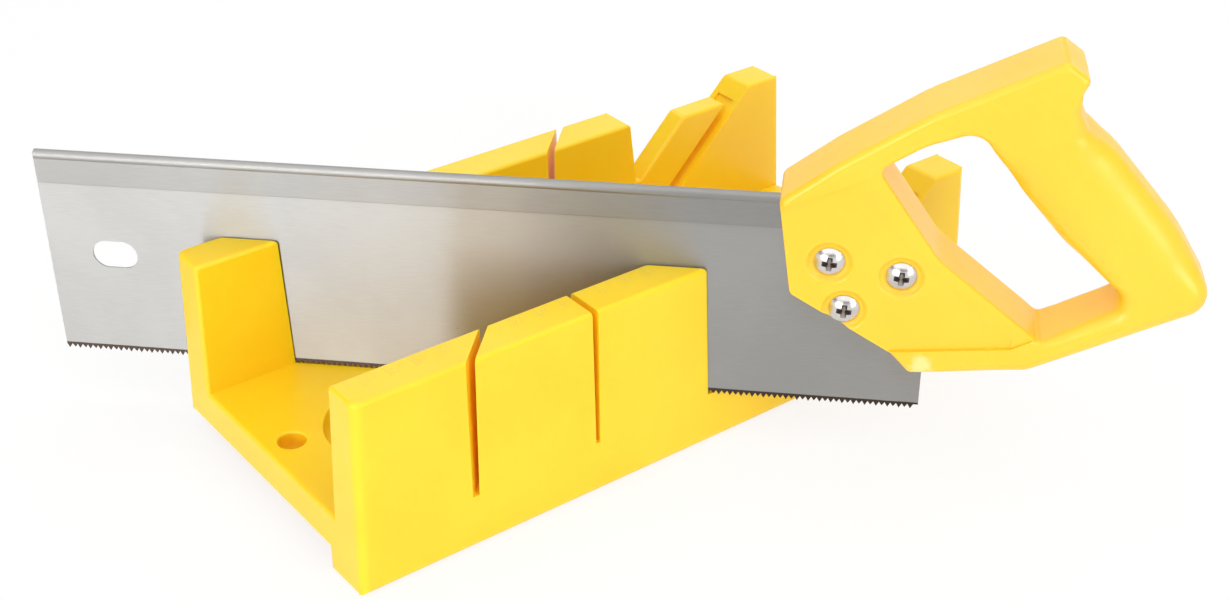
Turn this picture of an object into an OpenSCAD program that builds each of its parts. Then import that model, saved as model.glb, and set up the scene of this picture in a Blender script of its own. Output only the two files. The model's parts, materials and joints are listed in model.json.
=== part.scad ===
// Mitre box with a back saw standing in one of its 45 degree slots.
// Millimetres, +Z up. The origin is the middle of the box's underside.
// +X runs along the box, and -Y is the user's side, where the bench hook is.

/* [Box] */
// Length of the box at the walls' top
box_l = 282; // [262:1:320]
// Width of the box over both walls, at their top
box_w = 130; // [116:1:160]
// Height of the walls above the underside
wall_h = 68; // [62:0.5:72]
// Thickness of the two walls at their top
wall_t = 16.5; // [14:0.5:20]
// Height of the floor's top above the underside
floor_t = 14.2; // [12.4:0.2:18]
// How far the bench hook reaches below the underside
hook_h = 9; // [5:0.5:20]
// Thickness of the bench hook
hook_t = 20.8; // [17:0.2:28]

/* [Moulding] */
// Lean of the box's ends, in degrees, so that it leaves its mould
end_draft = 2.2; // [0:0.2:3]
// Lean of the walls' faces, in degrees
wall_draft = 1; // [0:0.1:1.5]
// Skin left over the hollows of the walls
skin = 3; // [2:0.25:4]
// Skin left over the hollows of the floor
floor_skin = 4.5; // [3:0.25:6]
// Thickness of the ribs under the floor
rib_t = 2.4; // [1.6:0.2:4]
// Distance from rib to rib
rib_pitch = 23; // [18:1:28]

/* [Cutting slots] */
// Where the three cuts cross, to the right of the box's middle
cut_x = -44; // [-60:1:-30]
// Where the three cuts cross, behind the box's middle
cut_y = -13; // [-20:1:0]
// Width of a slot at the walls' top
slot_w = 2.7; // [2.2:0.1:4]
// Width of a slot at its bottom
slot_low_w = 1.9; // [1.6:0.1:2.1]
// How deep the slots groove the floor
kerf_depth = 1; // [0.4:0.1:1.6]

/* [Bevel end] */
// Length of the end block's flat top
end_top = 16.7; // [10:0.1:24]
// Width of the bevel slot, square to its slope
bevel_gap = 3.2; // [2.4:0.1:5]
// Length of the leaning block's flat top
block_l = 23; // [16:0.5:28]
// How far the leaning block's top lies below the walls' top
block_drop = 6.5; // [3:0.5:12]
// How far the leaning block's sides lie inside the wall's faces
block_inset = 3; // [1:0.25:5]
// Width of the notch at its top
notch_w = 31.8; // [24:0.2:36]
// Height of the notch's bottom above the floor
notch_z = 24; // [16:0.5:36]
// Lean of the notch's left side, in degrees
notch_draft = 6; // [0:0.5:10]
// Depth of the recess in the end block's slope
recess_d = 1.2; // [0.6:0.1:2]
// How far the recess reaches above the leaning block's top
recess_over = 0.2; // [0:0.1:2]
// Rim left round the recess
recess_rim = 3; // [1.5:0.1:4]

/* [Floor holes] */
// Radius of the two screw holes
screw_hole_r = 5.2; // [2.5:0.1:6]
// Distance of a screw hole from the box's end, at the walls' top
screw_hole_end = 8.8; // [8:0.1:20]
// Distance of the screw holes behind the box's middle
screw_hole_y = 2; // [-10:0.5:10]
// Radius of the finger dish
dish_r = 27; // [15:0.5:29]
// Depth of the finger dish
dish_d = 8; // [6:0.5:9]
// Radius of the fillet round the dish's bottom
dish_fillet = 5; // [2:0.5:6]
// Distance of the dish's middle from the box's left end
dish_x = 46; // [44:0.5:50]
// Distance of the dish's middle behind the box's middle
dish_y = -10; // [-14:0.5:0]

/* [Blade] */
// Length of the blade
blade_l = 331.5; // [318:0.5:350]
// Height of the blade from tooth tips to its back edge
blade_h = 85; // [80:0.5:92]
// Thickness of the blade
blade_t = 0.8; // [0.6:0.05:1]
// Reach of the blade's tip behind the box's middle line
tip_reach = 161; // [150:0.5:170]
// Distance from tooth to tooth
tooth_pitch = 2.1; // [1.6:0.1:4]
// Depth of the teeth
tooth_depth = 1.7; // [1:0.1:2.4]
// Gap between tooth tips and slot bottom
tooth_gap = 0.3; // [0.2:0.1:1]
// Length of the hanging hole
hang_l = 17.6; // [12:0.2:24]
// Height of the hanging hole
hang_h = 11.4; // [6:0.2:16]
// Distance of the hanging hole's middle from the blade's tip
hang_tip = 26; // [16:0.5:40]
// Height of the hanging hole's middle above the tooth tips
hang_z = 43.4; // [20:0.2:60]

/* [Saw back] */
// Height of the folded back over the blade's sides
back_h = 13.3; // [10:0.1:20]
// Half width of the folded back's flanks
back_half_t = 1.45; // [1.1:0.05:1.7]
// Radius of the rolled bead along the top
bead_r = 1.95; // [1.75:0.05:3]
// How far the back's end lies behind the blade's tip
back_inset = 0.8; // [0:0.1:4]
// Steel above the blade's back edge
back_cover = 1.3; // [0.8:0.1:2]
// How far the back runs into the handle
back_seat = 20; // [10:0.5:24]

/* [Handle] */
// Thickness of the handle
handle_t = 26; // [22:0.5:32]
// Depth of the cheek panels
cheek_d = 1.2; // [0.4:0.1:2]
// Clearance round the blade, the back and the nuts
fit = 0.1; // [0.05:0.05:0.3]

/* [Handle screws] */
// Radius of the screw and nut heads
head_r = 5.5; // [4.5:0.1:6.5]
// Height of the domed heads
head_h = 2.8; // [1.8:0.1:3.6]
// Depth of the seats under the heads
seat_d = 1.6; // [0.6:0.1:2.4]
// Radius of the dished rim round a head
dish_rim_r = 8.4; // [7.4:0.1:9]
// Radius of the screw's shank
shank_r = 2.4; // [1.8:0.1:2.8]
// Length of the screw's shank
shank_l = 14; // [9:0.5:15]
// Radius of the nut's sleeve
sleeve_r = 3.4; // [3.1:0.1:4]
// Gap between nut sleeve and screw head
sleeve_gap = 4; // [2:0.5:8]
// Width of the cross recess
cross_w = 1.7; // [0.8:0.1:2.2]
// Length of the cross recess
cross_l = 5.4; // [4:0.1:7]
// Depth of the cross recess
cross_d = 1.6; // [0.8:0.1:2]

/* [Hidden] */
$fn = 64;

// Overcut, so that a cut passes the face it leaves through
past = 1;
// All the slots are cut for 45 degrees or square
mitre = 45;
left = -box_l / 2;
right = box_l / 2;
front = -box_w / 2;
back = box_w / 2;
slot_z = floor_t - kerf_depth;
slant = sqrt(2);

// How far the ends and the walls' faces lie outside their place at the walls' top
function end_out(z) = (wall_h - z) * tan(end_draft);
function side_out(z) = (wall_h - z) * tan(wall_draft);

// The bevel end: every line leans by 45 degrees, so it moves by 1 in X for 1 in Z
function slope_x(z) = right - end_top - wall_h + z;
function block_right(z) = slope_x(z) - bevel_gap * slant;
function block_left(z) = block_right(z) - block_l;
block_z = wall_h - block_drop;
notch_bottom = floor_t + notch_z;
main_end = block_left(block_z) - notch_w;
function main_end_x(z) = main_end + (wall_h - z) * tan(notch_draft);
recess_z = block_z + recess_over;

// The saw's own frame: +X along the blade to the handle, +Y away from the user,
// Z = 0 at the tooth tips and X = 0 over the box's middle line
saw_x = cut_x + cut_y;
saw_z = slot_z + tooth_gap;
tip = -tip_reach;
rear = blade_l - tip_reach;
back_top = blade_h + back_cover;
back_low = back_top - back_h;

// Places on the handle are given from the blade's rear end and the back's top
handle_at = [rear, back_top];
// Outline of the handle, point by point: along, up, corner radius, and how deep and how wide
// the edge is rounded
handle_outline = [
    [-49.6, -34, 3, 2.5, 2.5], [-54.8, 3.2, 4, 2.5, 2.5], [-35.5, 18.4, 40, 2.5, 2.5],
    [-5.5, 38.5, 60, 2.5, 2.5], [36.6, 60, 3, 2.5, 2.5], [45.4, 53.4, 4, 2.5, 2.5],
    [44.4, 45, 5, 3, 3], [42.4, 38.9, 4, 4, 5], [46.2, 33.2, 4, 6, 8], [56.6, 26.9, 40, 9, 13],
    [82.4, -3, 80, 9, 13], [98, -29.6, 9, 6, 6], [36.3, -60.4, 12, 5, 5],
    [-5.5, -63.7, 3, 2.5, 2.5], [-12.2, -56.3, 3, 2.5, 2.5]
];
// Outline of the hand hole, in the same way
hole_outline = [
    [-22.4, 15.7, 3, 0.8, 0.8], [-5.5, 26.7, 30, 2.5, 2.5], [11.6, 32.6, 8, 3, 3],
    [27.2, 9.6, 60, 9, 13], [43.9, -9.6, 50, 9, 13], [68.8, -30, 5, 6, 7], [45, -44, 20, 6, 6],
    [37.9, -47.9, 3, 2.5, 2.5], [33.2, -44.5, 20, 0.8, 0.8], [0.4, -18, 20, 0.8, 0.8]
];
// Corners of the flat cheek panel, which runs out over the handle's front edges
cheek_outline = [
    [-60.5, -2.3], [-28.9, 11.7], [-3, -16.8], [30, -45.3], [29.1, -51.8], [-13.5, -56.2],
    [-20.5, -60], [-60.5, -40]
];
// Screw places
screw_at = [[-36, -20.5], [-10.6, -24.6], [-29.8, -39.3]];
// Where the blade's hidden rear corner is cut off, along and up
rear_cut = [24.5, 23];
seat_y = handle_t / 2 - cheek_d - seat_d;
// Flat steps along a rounded corner
arc_steps = 4;
// Steps round an edge from the flat face to the side: how far each draws in and lies below the
// face, as shares of the rounding. The first one runs on past the face, which then cuts it off.
edge_round = [for (angle = [90, 60, 30, 0]) [1 - cos(angle), 1 - sin(angle)]];
run_on = 0.1;
edge_steps = [
    edge_round[0] + (edge_round[0] - edge_round[1]) * run_on,
    edge_round[1], edge_round[2], edge_round[3]
];

// Shorter names for the geometry of outlines
function unit(v) = v / norm(v);
function flat(v) = [v[0], v[1]];

// Points of a corner q between p and t, rounded with radius r
function corner(p, q, t, r) =
    let (u = unit(p - q), v = unit(t - q), half = acos(u * v) / 2)
    let (centre = q + unit(u + v) * r / sin(half), turn = 180 - 2 * half)
    let (a = q + u * r / tan(half) - centre, b = q + v * r / tan(half) - centre)
    [for (i = [0:arc_steps]) let (k = i / arc_steps)
        centre + (a * sin((1 - k) * turn) + b * sin(k * turn)) / sin(turn)];

// A rounded outline as points with their edge rounding: [[along, up], depth, reach]
function rounded(list) =
    let (n = len(list))
    [for (i = [0:n - 1])
        let (q = list[i], p = list[(i + n - 1) % n], t = list[(i + 1) % n])
        for (c = corner(flat(p), flat(q), flat(t), q[2])) [handle_at + c, q[3], q[4]]];

// Direction square to an outline at point i, towards its inside
function inward(path, i) =
    let (n = len(path), d = unit(path[(i + 1) % n][0] - path[(i + n - 1) % n][0]))
    [d[1], -d[0]];

// One ring of an edge-rounded plate: side is -1 or 1, and grow is 1 to draw in or -1 to flare
function ring(path, side, step, grow) =
    [for (i = [0:len(path) - 1])
        let (p = path[i][0] + inward(path, i) * grow * path[i][2] * step[0])
        [p[0], side * (handle_t / 2 - path[i][1] * step[1]), p[1]]];

// A plate with rounded edges from a stack of rings, a little thicker than the handle
module rounded_plate(list, grow) {
    path = rounded(list);
    n = len(path);
    m = len(edge_steps);
    near = [for (step = edge_steps) ring(path, -1, step, grow)];
    far = [for (i = [m - 1:-1:0]) ring(path, 1, edge_steps[i], grow)];
    rings = concat(near, far);
    sides = [for (k = [0:2 * m - 2]) for (i = [0:n - 1])
        let (j = (i + 1) % n, a = k * n + i, b = k * n + j, c = a + n, d = b + n)
        each [[a, d, b], [a, c, d]]];
    caps = [[for (i = [0:n - 1]) i], [for (i = [n - 1:-1:0]) (2 * m - 1) * n + i]];
    polyhedron([for (r = rings) each r], concat(sides, caps), convexity = 6);
}

// An upright X-Z shape drawn out from y0 to y1
module along_y(y0, y1) {
    translate([0, y1, 0])
        rotate([90, 0, 0])
            linear_extrude(y1 - y0)
                children();
}

// An upright Y-Z shape drawn out from x0 to x1
module along_x(x0, x1) {
    translate([x0, 0, 0])
        rotate([90, 0, 90])
            linear_extrude(x1 - x0)
                children();
}

// Puts a piece of the saw, drawn in the saw's own frame, in the box
module saw_frame() {
    translate([saw_x, 0, saw_z])
        rotate([0, 0, -mitre])
            children();
}

// Puts a piece drawn along +Z on a screw's axis: +Z then points to the user's side
module on_screw(i) {
    place = handle_at + screw_at[i];
    translate([place[0], 0, place[1]])
        rotate([90, 0, 0])
            children();
}

// One slot through both walls, square to the box at angle 0
module slot(angle) {
    translate([cut_x, cut_y, 0])
        rotate([0, 0, angle])
            along_y(-box_w, box_w)
                polygon([
                    [-slot_low_w / 2, slot_z], [slot_low_w / 2, slot_z],
                    [slot_w / 2, wall_h + past], [-slot_w / 2, wall_h + past]
                ]);
}

// Plan of the material kept beside one slot, where the wall isn't hollow
module slot_band(angle) {
    translate([cut_x, cut_y])
        rotate(angle)
            square([slot_w + 2 * skin, 4 * box_w], center = true);
}

// Block with leaning ends and faces that bounds the whole box
module outside() {
    low = -hook_h;
    intersection() {
        along_y(-box_w, box_w)
            polygon([
                [left - end_out(low), low], [right + end_out(low), low], [right, wall_h], [left, wall_h]
            ]);
        along_x(-box_l, box_l)
            polygon([
                [front - side_out(low), low], [back + side_out(low), low], [back, wall_h], [front, wall_h]
            ]);
    }
}

// A length of the front wall with a leaning inner face, cut to an X-Z shape. It runs on past the
// box's outside, and down into its floor
module wall_length() {
    high = wall_h + 2 * past;
    intersection() {
        along_x(-box_l, box_l)
            polygon([
                [-box_w, 0], [front + wall_t + side_out(0), 0], [front + wall_t + side_out(high), high],
                [-box_w, high]
            ]);
        along_y(-2 * box_w, 0) children();
    }
}

// The front wall: straight run, end block with its recess, and leaning block
module wall() {
    high = wall_h + past;
    wall_length()
        polygon([[-2 * box_l, past], [main_end_x(past), past], [main_end_x(high), high], [-2 * box_l, high]]);
    difference() {
        wall_length()
            polygon([[slope_x(past), past], [2 * box_l, past], [2 * box_l, high], [slope_x(high), high]]);
        along_y(front + recess_rim, front + wall_t - recess_rim)
            polygon([
                [slope_x(floor_t) - past, floor_t], [slope_x(floor_t) + recess_d * slant, floor_t],
                [slope_x(recess_z) + recess_d * slant, recess_z], [slope_x(recess_z) - past, recess_z]
            ]);
    }
    along_y(front + block_inset, front + wall_t - block_inset)
        polygon([
            [main_end - past, past], [block_right(past), past], [block_right(block_z), block_z],
            [block_left(block_z), block_z], [block_left(notch_bottom), notch_bottom],
            [main_end - past, notch_bottom]
        ]);
}

// Hollows of the wall that starts at y0, open below from height low
module wall_hollows(y0, low) {
    edge = (skin + recess_d) * slant;
    top = wall_h - skin;
    translate([0, 0, low - past])
        linear_extrude(top - low + past)
            difference() {
                translate([left + skin, y0 + skin])
                    square([main_end - left - 2 * skin, wall_t - 2 * skin]);
                for (angle = [-mitre, 0, mitre]) slot_band(angle);
            }
    along_y(y0 + skin, y0 + wall_t - skin)
        intersection() {
            polygon([
                [slope_x(low - past) + edge, low - past], [right - skin, low - past],
                [right - skin, top], [slope_x(top) + edge, top]
            ]);
            translate([main_end, low - past]) square([box_l, top - low + past]);
        }
}

// Hollows between the ribs under the floor
module floor_hollows() {
    columns = floor((box_l / 2 - skin) / rib_pitch);
    room = box_w - hook_t - wall_t;
    rows = round(room / rib_pitch);
    row_pitch = room / rows;
    difference() {
        for (i = [-columns:columns - 1], j = [0:rows - 1])
            translate([i * rib_pitch + rib_t / 2, front + hook_t + j * row_pitch + rib_t / 2, -past])
                cube([rib_pitch - rib_t, row_pitch - rib_t, floor_t - floor_skin + past]);
        for (end = [left + screw_hole_end, right - screw_hole_end])
            translate([end, screw_hole_y, -2 * past])
                cylinder(r = screw_hole_r + skin, h = floor_t);
        translate([left + dish_x, dish_y, -2 * past])
            cylinder(r = dish_r + skin, h = floor_t);
    }
}

// Round dish in the floor, with a filleted bottom
module finger_dish() {
    translate([left + dish_x, dish_y, floor_t - dish_d])
        rotate_extrude($fn = 128) {
            square([dish_r - dish_fillet, dish_d + past]);
            translate([0, dish_fillet]) square([dish_r, dish_d - dish_fillet + past]);
            intersection() {
                translate([dish_r - dish_fillet, dish_fillet]) circle(dish_fillet);
                square(dish_r);
            }
        }
}

module mitre_box() color([1, 0.8, 0.08])
    difference() {
        intersection() {
            outside();
            union() {
                translate([-box_l, -box_w, 0]) cube([2 * box_l, 2 * box_w, floor_t]);
                translate([-box_l, front + hook_t - box_w, -hook_h - past])
                    cube([2 * box_l, box_w, hook_h + 2 * past]);
                wall();
                mirror([0, 1, 0]) wall();
            }
        }
        for (angle = [-mitre, 0, mitre]) slot(angle);
        wall_hollows(front, -hook_h);
        wall_hollows(back - wall_t, 0);
        floor_hollows();
        for (end = [left + screw_hole_end, right - screw_hole_end])
            translate([end, screw_hole_y, -past])
                cylinder(r = screw_hole_r, h = floor_t + 2 * past);
        finger_dish();
    }

// Outline of the blade without its teeth; grow enlarges the end that the handle holds
module blade_outline(grow, low) {
    polygon([
        [tip, low], [rear + grow, low], [rear + grow, blade_h - rear_cut[1] + grow],
        [rear - rear_cut[0] + grow, blade_h + grow], [tip, blade_h + grow]
    ]);
}

// Row of teeth along the blade's lower edge
module teeth() {
    count = floor(blade_l / tooth_pitch);
    polygon(concat(
        [for (i = [0:count - 1])
            each [[tip + i * tooth_pitch, tooth_depth], [tip + (i + 0.5) * tooth_pitch, 0]]],
        [[tip + count * tooth_pitch, tooth_depth], [rear, tooth_depth]],
        [[rear, 2 * tooth_depth], [tip, 2 * tooth_depth]]
    ));
}

// Round-ended hanging hole
module hang_hole() {
    run = (hang_l - hang_h) / 2;
    translate([tip + hang_tip, hang_z]) {
        for (side = [-run, run]) translate([side, 0]) circle(d = hang_h);
        square([2 * run, hang_h], center = true);
    }
}

module saw_blade() color([0.78, 0.77, 0.75])
    saw_frame()
        along_y(-blade_t / 2, blade_t / 2)
            difference() {
                union() {
                    blade_outline(0, 1.5 * tooth_depth);
                    teeth();
                }
                hang_hole();
                for (place = screw_at) translate(handle_at + place) circle(sleeve_r + fit);
            }

module saw_back() color([0.72, 0.72, 0.72])
    saw_frame()
        along_x(tip + back_inset, rear + handle_outline[1][0] + back_seat)
            difference() {
                union() {
                    translate([0, back_top - bead_r]) circle(bead_r);
                    translate([-back_half_t, back_low])
                        square([2 * back_half_t, back_h - bead_r]);
                }
                translate([-blade_t / 2, back_low - past])
                    square([blade_t, blade_h - back_low + past]);
            }

// Room for the blade and its back inside the handle
module blade_room() {
    along_y(-blade_t / 2 - fit, blade_t / 2 + fit)
        blade_outline(fit, -past);
    room_end = rear + handle_outline[1][0] + back_seat + fit;
    translate([tip, -bead_r - fit, back_low - fit])
        cube([room_end - tip, 2 * (bead_r + fit), back_h + 2 * fit]);
}

// Bore and dished seats of one screw
module screw_room() {
    panel = handle_t / 2 - cheek_d;
    cylinder(r = sleeve_r + fit, h = handle_t, center = true);
    for (side = [0, 1])
        mirror([0, 0, side]) {
            translate([0, 0, seat_y]) cylinder(r = head_r + fit, h = handle_t);
            translate([0, 0, seat_y]) cylinder(r1 = head_r + fit, r2 = dish_rim_r, h = panel - seat_y);
            translate([0, 0, panel]) cylinder(r = dish_rim_r, h = handle_t);
        }
}

module saw_handle() color([1, 0.83, 0.12])
    saw_frame()
        difference() {
            intersection() {
                rounded_plate(handle_outline, 1);
                translate([0, -handle_t / 2, 0]) cube([2 * rear, handle_t, 2 * blade_h]);
            }
            rounded_plate(hole_outline, -1);
            for (side = [0, 1])
                mirror([0, side, 0])
                    along_y(handle_t / 2 - cheek_d, handle_t / 2 + past)
                        translate(handle_at) polygon(cheek_outline);
            blade_room();
            for (i = [0:2]) on_screw(i) screw_room();
        }

// Domed head on its seat
module head() {
    ball_r = (head_r * head_r + head_h * head_h) / (2 * head_h);
    intersection() {
        translate([0, 0, seat_y + head_h - ball_r]) sphere(ball_r);
        translate([0, 0, seat_y]) cylinder(r = head_r + past, h = head_h + past);
    }
}

module handle_screw(i) color([0.86, 0.86, 0.88])
    saw_frame() on_screw(i)
        difference() {
            union() {
                head();
                translate([0, 0, seat_y - shank_l]) cylinder(r = shank_r, h = shank_l + past);
            }
            translate([0, 0, seat_y + head_h])
                for (size = [[cross_l, cross_w], [cross_w, cross_l]])
                    cube([size[0], size[1], 2 * cross_d], center = true);
        }

module handle_nut(i) color([0.8, 0.8, 0.82])
    saw_frame() on_screw(i)
        difference() {
            union() {
                mirror([0, 0, 1]) head();
                translate([0, 0, -seat_y - past])
                    cylinder(r = sleeve_r, h = 2 * seat_y - sleeve_gap + past);
            }
            translate([0, 0, seat_y - shank_l - past])
                cylinder(r = shank_r + fit, h = shank_l + 2 * past);
        }

module front_screw() handle_screw(0);
module rear_screw() handle_screw(1);
module lower_screw() handle_screw(2);
module front_nut() handle_nut(0);
module rear_nut() handle_nut(1);
module lower_nut() handle_nut(2);

mitre_box();
saw_blade();
saw_back();
saw_handle();
front_screw();
rear_screw();
lower_screw();
front_nut();
rear_nut();
lower_nut();
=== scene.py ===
# %% [markdown]
# # Mitre box with a back saw
#
# The object is a yellow moulded mitre box with a steel back saw standing in one of its 45 degree slots.
# Its solids come from a CAD model, which fixes every size and place. This lesson gives each of them its
# finished surface: rounded moulding edges, a ruler, a grip that fits the hand, set teeth and real metal.
# The first cell loads the CAD model as a frame that is never moved.

# %% Load the frame
import json
import math

import bmesh
import bpy
from mathutils import Matrix, Vector

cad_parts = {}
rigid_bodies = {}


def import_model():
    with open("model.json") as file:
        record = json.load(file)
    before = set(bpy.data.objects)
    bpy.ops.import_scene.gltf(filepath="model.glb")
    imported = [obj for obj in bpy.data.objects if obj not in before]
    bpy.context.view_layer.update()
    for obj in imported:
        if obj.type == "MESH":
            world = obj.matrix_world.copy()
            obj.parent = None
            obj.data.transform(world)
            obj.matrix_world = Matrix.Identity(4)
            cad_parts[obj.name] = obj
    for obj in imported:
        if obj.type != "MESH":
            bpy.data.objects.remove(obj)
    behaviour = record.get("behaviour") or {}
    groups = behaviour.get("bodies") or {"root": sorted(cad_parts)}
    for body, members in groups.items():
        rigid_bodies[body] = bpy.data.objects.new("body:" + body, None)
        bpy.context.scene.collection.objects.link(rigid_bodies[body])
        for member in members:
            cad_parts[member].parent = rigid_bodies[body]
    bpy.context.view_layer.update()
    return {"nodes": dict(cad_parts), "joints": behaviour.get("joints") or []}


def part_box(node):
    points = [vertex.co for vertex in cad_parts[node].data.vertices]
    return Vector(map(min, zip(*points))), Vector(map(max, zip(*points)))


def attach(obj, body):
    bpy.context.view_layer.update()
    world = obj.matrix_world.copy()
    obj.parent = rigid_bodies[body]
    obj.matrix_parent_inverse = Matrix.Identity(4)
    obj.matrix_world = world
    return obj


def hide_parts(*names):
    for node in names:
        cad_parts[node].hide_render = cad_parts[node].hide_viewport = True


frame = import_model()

MM = 0.001

# %% [markdown]
# ## Camera
#
# The camera stands to the left of the user and looks down by about 31 degrees. It could be aimed with a
# tracking constraint, but three plain angles say the same and leave nothing to solve: a turn about the
# upright, a drop below the horizon, and a very small roll.

# %% Camera
camera_place = Vector((-363.1, -499.6, 393.6)) * MM
view_turn = math.radians(36.99)
view_drop = math.radians(30.74)
view_roll = math.radians(-0.27)


def in_scene(name, data):
    """An object of a camera, a mesh or a lamp, in the scene's collection."""
    made = bpy.data.objects.new(name, data)
    bpy.context.scene.collection.objects.link(made)
    return made


lens = bpy.data.cameras.new("camera")
lens.sensor_fit = "HORIZONTAL"
lens.sensor_width = 36.0
lens.lens = 53.07
camera = in_scene("camera", lens)
camera.matrix_world = (
    Matrix.Translation(camera_place)
    @ Matrix.Rotation(-view_turn, 4, "Z")
    @ Matrix.Rotation(math.pi / 2 - view_drop, 4, "X")
    @ Matrix.Rotation(view_roll, 4, "Z")
)
bpy.context.scene.camera = camera
print("camera at", [round(c, 3) for c in camera_place], "with a lens of", lens.lens, "mm")

# %% [markdown]
# ## A small language for finishes
#
# A material is a graph of nodes. Written link by link it is hard to read, so two small classes help.
# `Wire` wraps a socket, and Python's operators on it add Math nodes. `Finish` holds one material, or the
# world, and makes any other node from its type, its settings and the values or wires of its sockets.


# %% Wires and finishes
class Wire:
    """A socket of a finish. Sums and products of wires become Math nodes."""

    def __init__(self, finish, socket):
        self.finish = finish
        self.socket = socket

    def maths(self, operation, first, second):
        return self.finish.node("Math", {"operation": operation}, {0: first, 1: second})

    def also(self, output):
        """Another output of the same node."""
        return Wire(self.finish, self.socket.node.outputs[output])

    def __add__(self, other):
        return self.maths("ADD", self, other)

    def __radd__(self, other):
        return self.maths("ADD", other, self)

    def __sub__(self, other):
        return self.maths("SUBTRACT", self, other)

    def __rsub__(self, other):
        return self.maths("SUBTRACT", other, self)

    def __mul__(self, other):
        return self.maths("MULTIPLY", self, other)

    def __rmul__(self, other):
        return self.maths("MULTIPLY", other, self)


class Finish:
    """One material, or the world, and its nodes."""

    def __init__(self, name, store=bpy.data.materials):
        self.owner = store.new(name)
        self.owner.use_nodes = True
        self.tree = self.owner.node_tree
        self.tree.nodes.clear()

    def node(self, kind, settings, sockets, output=0):
        made = self.tree.nodes.new("ShaderNode" + kind)
        for name, value in settings.items():
            setattr(made, name, value)
        for name, value in sockets.items():
            if isinstance(value, Wire):
                self.tree.links.new(value.socket, made.inputs[name])
            else:
                made.inputs[name].default_value = value
        return Wire(self, made.outputs[output]) if made.outputs else None

    def place(self):
        """Object coordinates, which are metres in the shared frame."""
        return self.node("TexCoord", {}, {}, "Object")

    def seen(self):
        """1 for what the camera, a reflection or clear material looks at, and 0 for other light."""
        ray = self.node("LightPath", {}, {}, "Is Camera Ray")
        return ray + ray.also("Is Glossy Ray") + ray.also("Is Transmission Ray")

    def noise(self, where, scale, detail=2.0, roughness=0.5):
        sockets = {"Vector": where, "Scale": scale, "Detail": detail, "Roughness": roughness}
        return self.node("TexNoise", {}, sockets)

    def step(self, value, low, high, start=0.0, end=1.0):
        """A soft step from start to end while value goes from low to high."""
        sockets = {"Value": value, "From Min": low, "From Max": high, "To Min": start, "To Max": end}
        return self.node("MapRange", {"interpolation_type": "SMOOTHSTEP"}, sockets)

    def mix(self, share, first, second):
        """A colour between two colours."""
        return self.node("Mix", {"data_type": "RGBA"}, {0: share, 6: first, 7: second}, 2)

    def bump(self, height, strength, distance):
        sockets = {"Height": height, "Strength": strength, "Distance": distance}
        return self.node("Bump", {}, sockets)

    def surface(self, sockets):
        shader = self.node("BsdfPrincipled", {}, sockets)
        self.node("OutputMaterial", {}, {"Surface": shader})
        print("finish", self.owner.name, "has", len(self.tree.nodes), "nodes")
        return self.owner


def rgb(red, green, blue):
    return (red, green, blue, 1.0)


print("the finish tools are ready")

# %% [markdown]
# ## Yellow plastic
#
# Box and handle are injection moulded. The pigment drifts a little over a few centimetres, the steel mould
# leaves a fine satin grain, and hands leave duller patches. An image could hold all this, but noise on
# Object coordinates has no seams and the same scale on every face.

# %% Plastic finishes
scuff_core = 6.5 * MM
scuff_edge = 10.5 * MM
scuff_ragged = 9 * MM


def moulded_plastic(name, light, deep, base_rough, scuff_at=None):
    paint = Finish(name)
    place = paint.place()
    drift = paint.noise(place, scale=16.0, detail=3.0, roughness=0.55)
    grain = paint.noise(place, scale=1500.0)
    hands = paint.noise(place, scale=45.0, detail=4.0, roughness=0.6)
    colour = paint.mix(paint.step(drift, 0.35, 0.65), light, deep)
    rough = base_rough + grain * 0.06 + paint.step(hands, 0.45, 0.75) * 0.10
    if scuff_at:
        away = paint.node("VectorMath", {"operation": "DISTANCE"}, {0: place, 1: scuff_at}, "Value")
        ragged = away + paint.noise(place, scale=260.0, detail=4.0, roughness=0.7) * scuff_ragged
        scuff = paint.step(ragged, scuff_core, scuff_edge, 0.55, 0.0)
        colour = paint.mix(scuff, colour, rgb(0.95, 0.80, 0.42))
        rough = rough + scuff * 0.25
    return paint.surface({
        "Base Color": colour,
        "Roughness": rough,
        "Normal": paint.bump(grain, 0.12, 0.05 * MM),
        "IOR": 1.5,
        "Subsurface Weight": 0.35,
        "Subsurface Radius": (1.0, 0.55, 0.08),
        "Subsurface Scale": 3.5 * MM,
    })


box_plastic = moulded_plastic("box_plastic", rgb(0.98, 0.66, 0.016), rgb(0.97, 0.625, 0.010), 0.30)

# %% [markdown]
# ## The box: a softened copy
#
# Every outer edge of a moulding is rounded, because molten plastic doesn't fill a sharp corner and because
# hands hold it. The box could be modelled again from a few blocks, but its solid already has every slot
# and rib, so a merged copy of it is bevelled. The tall corners come first with a wide radius, then the rims
# with a narrower one, which then runs round those corners as one line.

# %% Box: a merged copy
weld = 0.002 * MM
flat = math.radians(1)


def merged_copy(node):
    """A copy of a CAD node's mesh with its loose triangles joined into whole faces."""
    copy = bmesh.new()
    copy.from_mesh(frame["nodes"][node].data)
    bmesh.ops.remove_doubles(copy, verts=copy.verts, dist=weld)
    bmesh.ops.dissolve_limit(copy, angle_limit=flat, verts=copy.verts, edges=copy.edges)
    return copy


box = merged_copy("mitre_box")
print("box copy:", len(box.verts), "corners,", len(box.faces), "faces")

# %% Box: where its faces are
box_low, box_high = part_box("mitre_box")
wall_top = box_high.z
hook_low = box_low.z
top_end = 141 * MM
top_side = 65 * MM
wall_t = 16.5 * MM
floor_top = 14.2 * MM
hook_t = 20.8 * MM
hook_back = hook_t - top_side
end_lean = math.tan(math.radians(2.2))
side_lean = math.tan(math.radians(1.0))


def end_x(z):
    """Where the box's ends are at a height: they lean, so that the moulding leaves its mould."""
    return top_end + (wall_top - z) * end_lean


def outer_y(z):
    return top_side + (wall_top - z) * side_lean


def inner_y(z):
    return top_side - wall_t - (wall_top - z) * side_lean


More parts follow.
